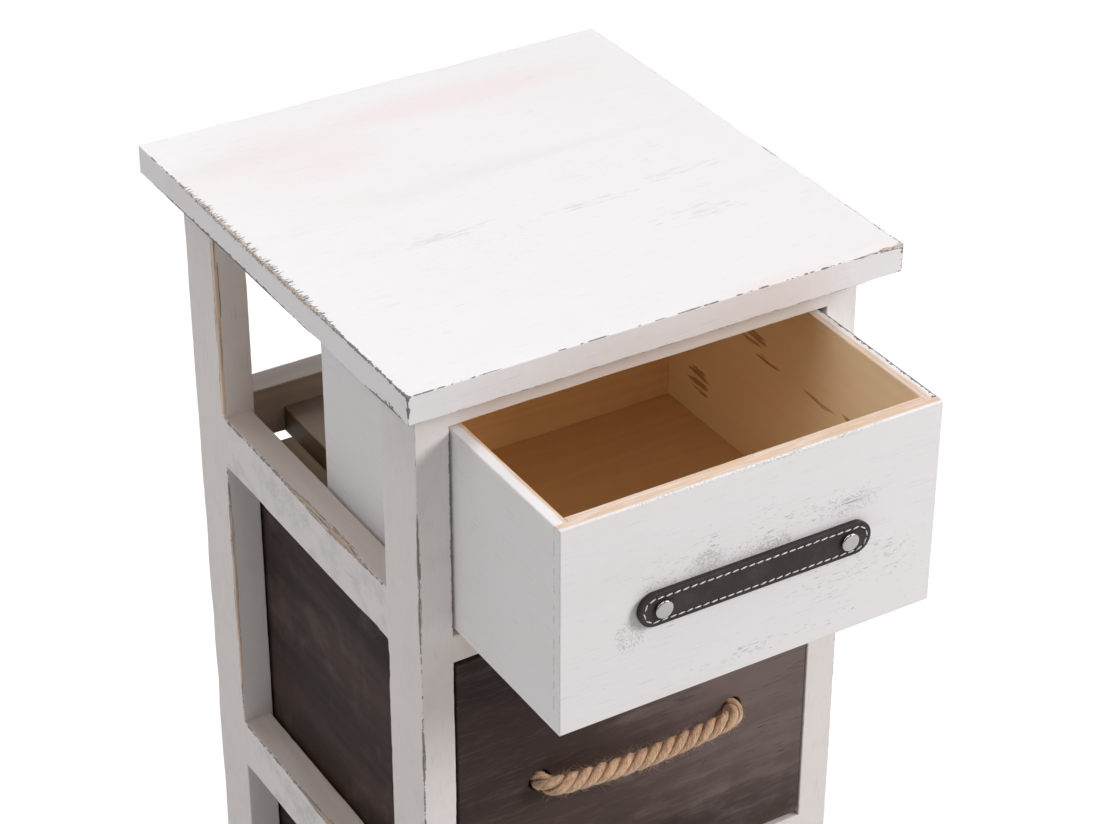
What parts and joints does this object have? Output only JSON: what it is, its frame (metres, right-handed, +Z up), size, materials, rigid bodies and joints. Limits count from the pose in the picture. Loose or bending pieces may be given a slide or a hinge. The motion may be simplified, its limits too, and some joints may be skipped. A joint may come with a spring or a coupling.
{
  "type": "nightstand",
  "caption": "Narrow open-framed wooden nightstand: stacked sliding drawers under an overhanging top, one with a studded leather strap pull, the others with rope pulls.",
  "frame": {"origin": "on the floor, under the middle of the bounding box of the rest pose, in which the upper drawer stands pulled out by 98 mm", "axes": "+X to the right seen from the front, +Y from the drawer fronts to the back, +Z up from the feet to the top board"},
  "size_m": [0.28, 0.378, 0.62],
  "materials": {
    "white_paint": "thin white wash over wood, matt, worn through at the edges",
    "bare_wood": "bare, sanded, matt",
    "brown_stain": "weathered grey-brown stain, matt",
    "leather": "dark brown, matt, stitched along the edge",
    "nickel": "polished nickel",
    "zinc": "zinc plated",
    "jute": "laid jute, dry and fuzzy"
  },
  "bodies": {
    "frame": {"top_board": "white_paint", "front_left_post": "white_paint", "front_right_post": "white_paint", "rear_left_post": "white_paint", "rear_right_post": "white_paint", "front_top_rail": "white_paint", "front_upper_rail": "white_paint", "front_lower_rail": "white_paint", "front_bottom_rail": "white_paint", "rear_top_rail": "white_paint", "rear_upper_rail": "white_paint", "rear_lower_rail": "white_paint", "rear_bottom_rail": "white_paint", "left_upper_side_rail": "white_paint", "left_lower_side_rail": "white_paint", "left_bottom_side_rail": "white_paint", "right_upper_side_rail": "white_paint", "right_lower_side_rail": "white_paint", "right_bottom_side_rail": "white_paint", "upper_divider": "white_paint", "lower_divider": "white_paint", "bottom_divider": "white_paint", "divider_dowels": "bare_wood", "upper_left_runner": "bare_wood", "middle_left_runner": "bare_wood", "lower_left_runner": "bare_wood", "upper_right_runner": "bare_wood", "middle_right_runner": "bare_wood", "lower_right_runner": "bare_wood", "front_rail_dowels": "bare_wood", "rear_rail_dowels": "bare_wood", "side_rail_dowels": "bare_wood", "runner_screws": "zinc", "top_board_screws": "zinc"},
    "upper_drawer": {"upper_drawer_front": "white_paint", "upper_drawer_left_side": "white_paint", "upper_drawer_right_side": "white_paint", "upper_drawer_back": "bare_wood", "upper_drawer_bottom": "bare_wood", "pull_strap": "leather", "pull_strap_backing": "leather", "pull_studs": "nickel", "pull_stud_screws": "zinc"},
    "middle_drawer": {"middle_drawer_front": "brown_stain", "middle_drawer_left_side": "brown_stain", "middle_drawer_right_side": "brown_stain", "middle_drawer_back": "bare_wood", "middle_drawer_bottom": "bare_wood", "middle_rope_pull": "jute", "middle_rope_knots": "jute"},
    "lower_drawer": {"lower_drawer_front": "brown_stain", "lower_drawer_left_side": "brown_stain", "lower_drawer_right_side": "brown_stain", "lower_drawer_back": "bare_wood", "lower_drawer_bottom": "bare_wood", "lower_rope_pull": "jute", "lower_rope_knots": "jute"}
  },
  "joints": [
    {"name": "upper_drawer_slide", "type": "slide", "parent": "frame", "child": "upper_drawer", "axis": [0, -1, 0], "range_m": [-0.098, 0.062]},
    {"name": "middle_drawer_slide", "type": "slide", "parent": "frame", "child": "middle_drawer", "axis": [0, -1, 0], "range_m": [0, 0.16]},
    {"name": "lower_drawer_slide", "type": "slide", "parent": "frame", "child": "lower_drawer", "axis": [0, -1, 0], "range_m": [0, 0.16]}
  ]
}
